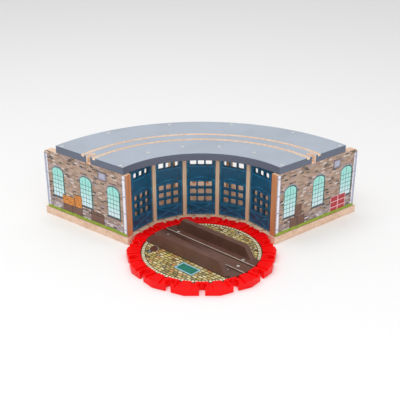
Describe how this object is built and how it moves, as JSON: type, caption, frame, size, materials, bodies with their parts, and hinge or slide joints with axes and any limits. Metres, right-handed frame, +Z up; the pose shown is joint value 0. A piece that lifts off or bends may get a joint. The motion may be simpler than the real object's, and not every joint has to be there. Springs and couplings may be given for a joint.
{
  "type": "toy engine shed with turntable",
  "caption": "Curved wooden engine shed for toy trains, with flap doors, a track on its roof and a round turntable with a girder bridge in front.",
  "frame": {"origin": "centre of the turntable, on the table top", "axes": "+X to the right seen from the front, +Y from the turntable to the middle bay, +Z up"},
  "size_m": [0.5142, 0.3863, 0.1265],
  "materials": {
    "beech": "sanded, clear sealed",
    "partition_wood": "sanded, clear sealed",
    "roof_paint": "satin blue-grey paint, bare grooves",
    "printed_wall": "printed brickwork outside, bare wood edges",
    "door_plastic": "moulded, satin",
    "red_plastic": "moulded, glossy",
    "printed_disc": "printed paving on board",
    "brown_plastic": "moulded, satin",
    "steel": "zinc plated",
    "nylon": "plain"
  },
  "bodies": {
    "shed": {"shed_base": "beech", "roof_board": "roof_paint", "left_end_wall": "printed_wall", "right_end_wall": "printed_wall", "partition_1": "partition_wood", "partition_2": "partition_wood", "partition_3": "partition_wood", "partition_4": "partition_wood", "track_peg_1": "red_plastic", "track_peg_2": "red_plastic", "track_peg_3": "red_plastic", "track_peg_4": "red_plastic", "track_peg_5": "red_plastic", "hinge_rod_1": "steel", "hinge_rod_2": "steel", "hinge_rod_3": "steel", "hinge_rod_4": "steel", "hinge_rod_5": "steel", "roof_screw_partition_1_front": "steel", "roof_screw_partition_1_rear": "steel", "roof_screw_partition_2_front": "steel", "roof_screw_partition_2_rear": "steel", "roof_screw_partition_3_front": "steel", "roof_screw_partition_3_rear": "steel", "roof_screw_partition_4_front": "steel", "roof_screw_partition_4_rear": "steel", "roof_screw_left_wall_front": "steel", "roof_screw_left_wall_rear": "steel", "roof_screw_right_wall_front": "steel", "roof_screw_right_wall_rear": "steel", "floor_screw_partition_1_front": "steel", "floor_screw_partition_1_rear": "steel", "floor_screw_partition_2_front": "steel", "floor_screw_partition_2_rear": "steel", "floor_screw_partition_3_front": "steel", "floor_screw_partition_3_rear": "steel", "floor_screw_partition_4_front": "steel", "floor_screw_partition_4_rear": "steel", "floor_screw_left_wall_front": "steel", "floor_screw_left_wall_rear": "steel", "floor_screw_right_wall_front": "steel", "floor_screw_right_wall_rear": "steel"},
    "door_1": {"door_1": "door_plastic"},
    "door_2": {"door_2": "door_plastic"},
    "door_3": {"door_3": "door_plastic"},
    "door_4": {"door_4": "door_plastic"},
    "door_5": {"door_5": "door_plastic"},
    "turntable": {"turntable_ring": "red_plastic"},
    "bridge": {"turntable_disc": "printed_disc", "turntable_bridge": "brown_plastic", "pivot_washer": "nylon", "pivot_screw": "steel", "bridge_screw_1": "steel", "bridge_screw_2": "steel", "bridge_screw_3": "steel", "bridge_screw_4": "steel", "bridge_screw_5": "steel", "bridge_screw_6": "steel"}
  },
  "joints": [
    {"name": "door_1_hinge", "type": "hinge", "parent": "shed", "child": "door_1", "pos_m": [-0.09304, 0.07419, 0.1103], "axis": [0.6235, 0.7818, 0], "range_deg": [0, 80]},
    {"name": "door_2_hinge", "type": "hinge", "parent": "shed", "child": "door_2", "pos_m": [-0.05163, 0.10722, 0.1103], "axis": [0.901, 0.4339, 0], "range_deg": [0, 80]},
    {"name": "door_3_hinge", "type": "hinge", "parent": "shed", "child": "door_3", "pos_m": [0, 0.119, 0.1103], "axis": [1, 0, 0], "range_deg": [0, 80]},
    {"name": "door_4_hinge", "type": "hinge", "parent": "shed", "child": "door_4", "pos_m": [0.05163, 0.10722, 0.1103], "axis": [0.901, -0.4339, 0], "range_deg": [0, 80]},
    {"name": "door_5_hinge", "type": "hinge", "parent": "shed", "child": "door_5", "pos_m": [0.09304, 0.07419, 0.1103], "axis": [0.6235, -0.7818, 0], "range_deg": [0, 80]},
    {"name": "turntable_lift", "type": "slide", "parent": "shed", "child": "turntable", "axis": [0, 0, 1], "range_m": [0, 0.03]},
    {"name": "bridge_turn", "type": "hinge", "parent": "turntable", "child": "bridge", "pos_m": [0, 0, 0.0055], "axis": [0, 0, 1], "continuous": true}
  ]
}
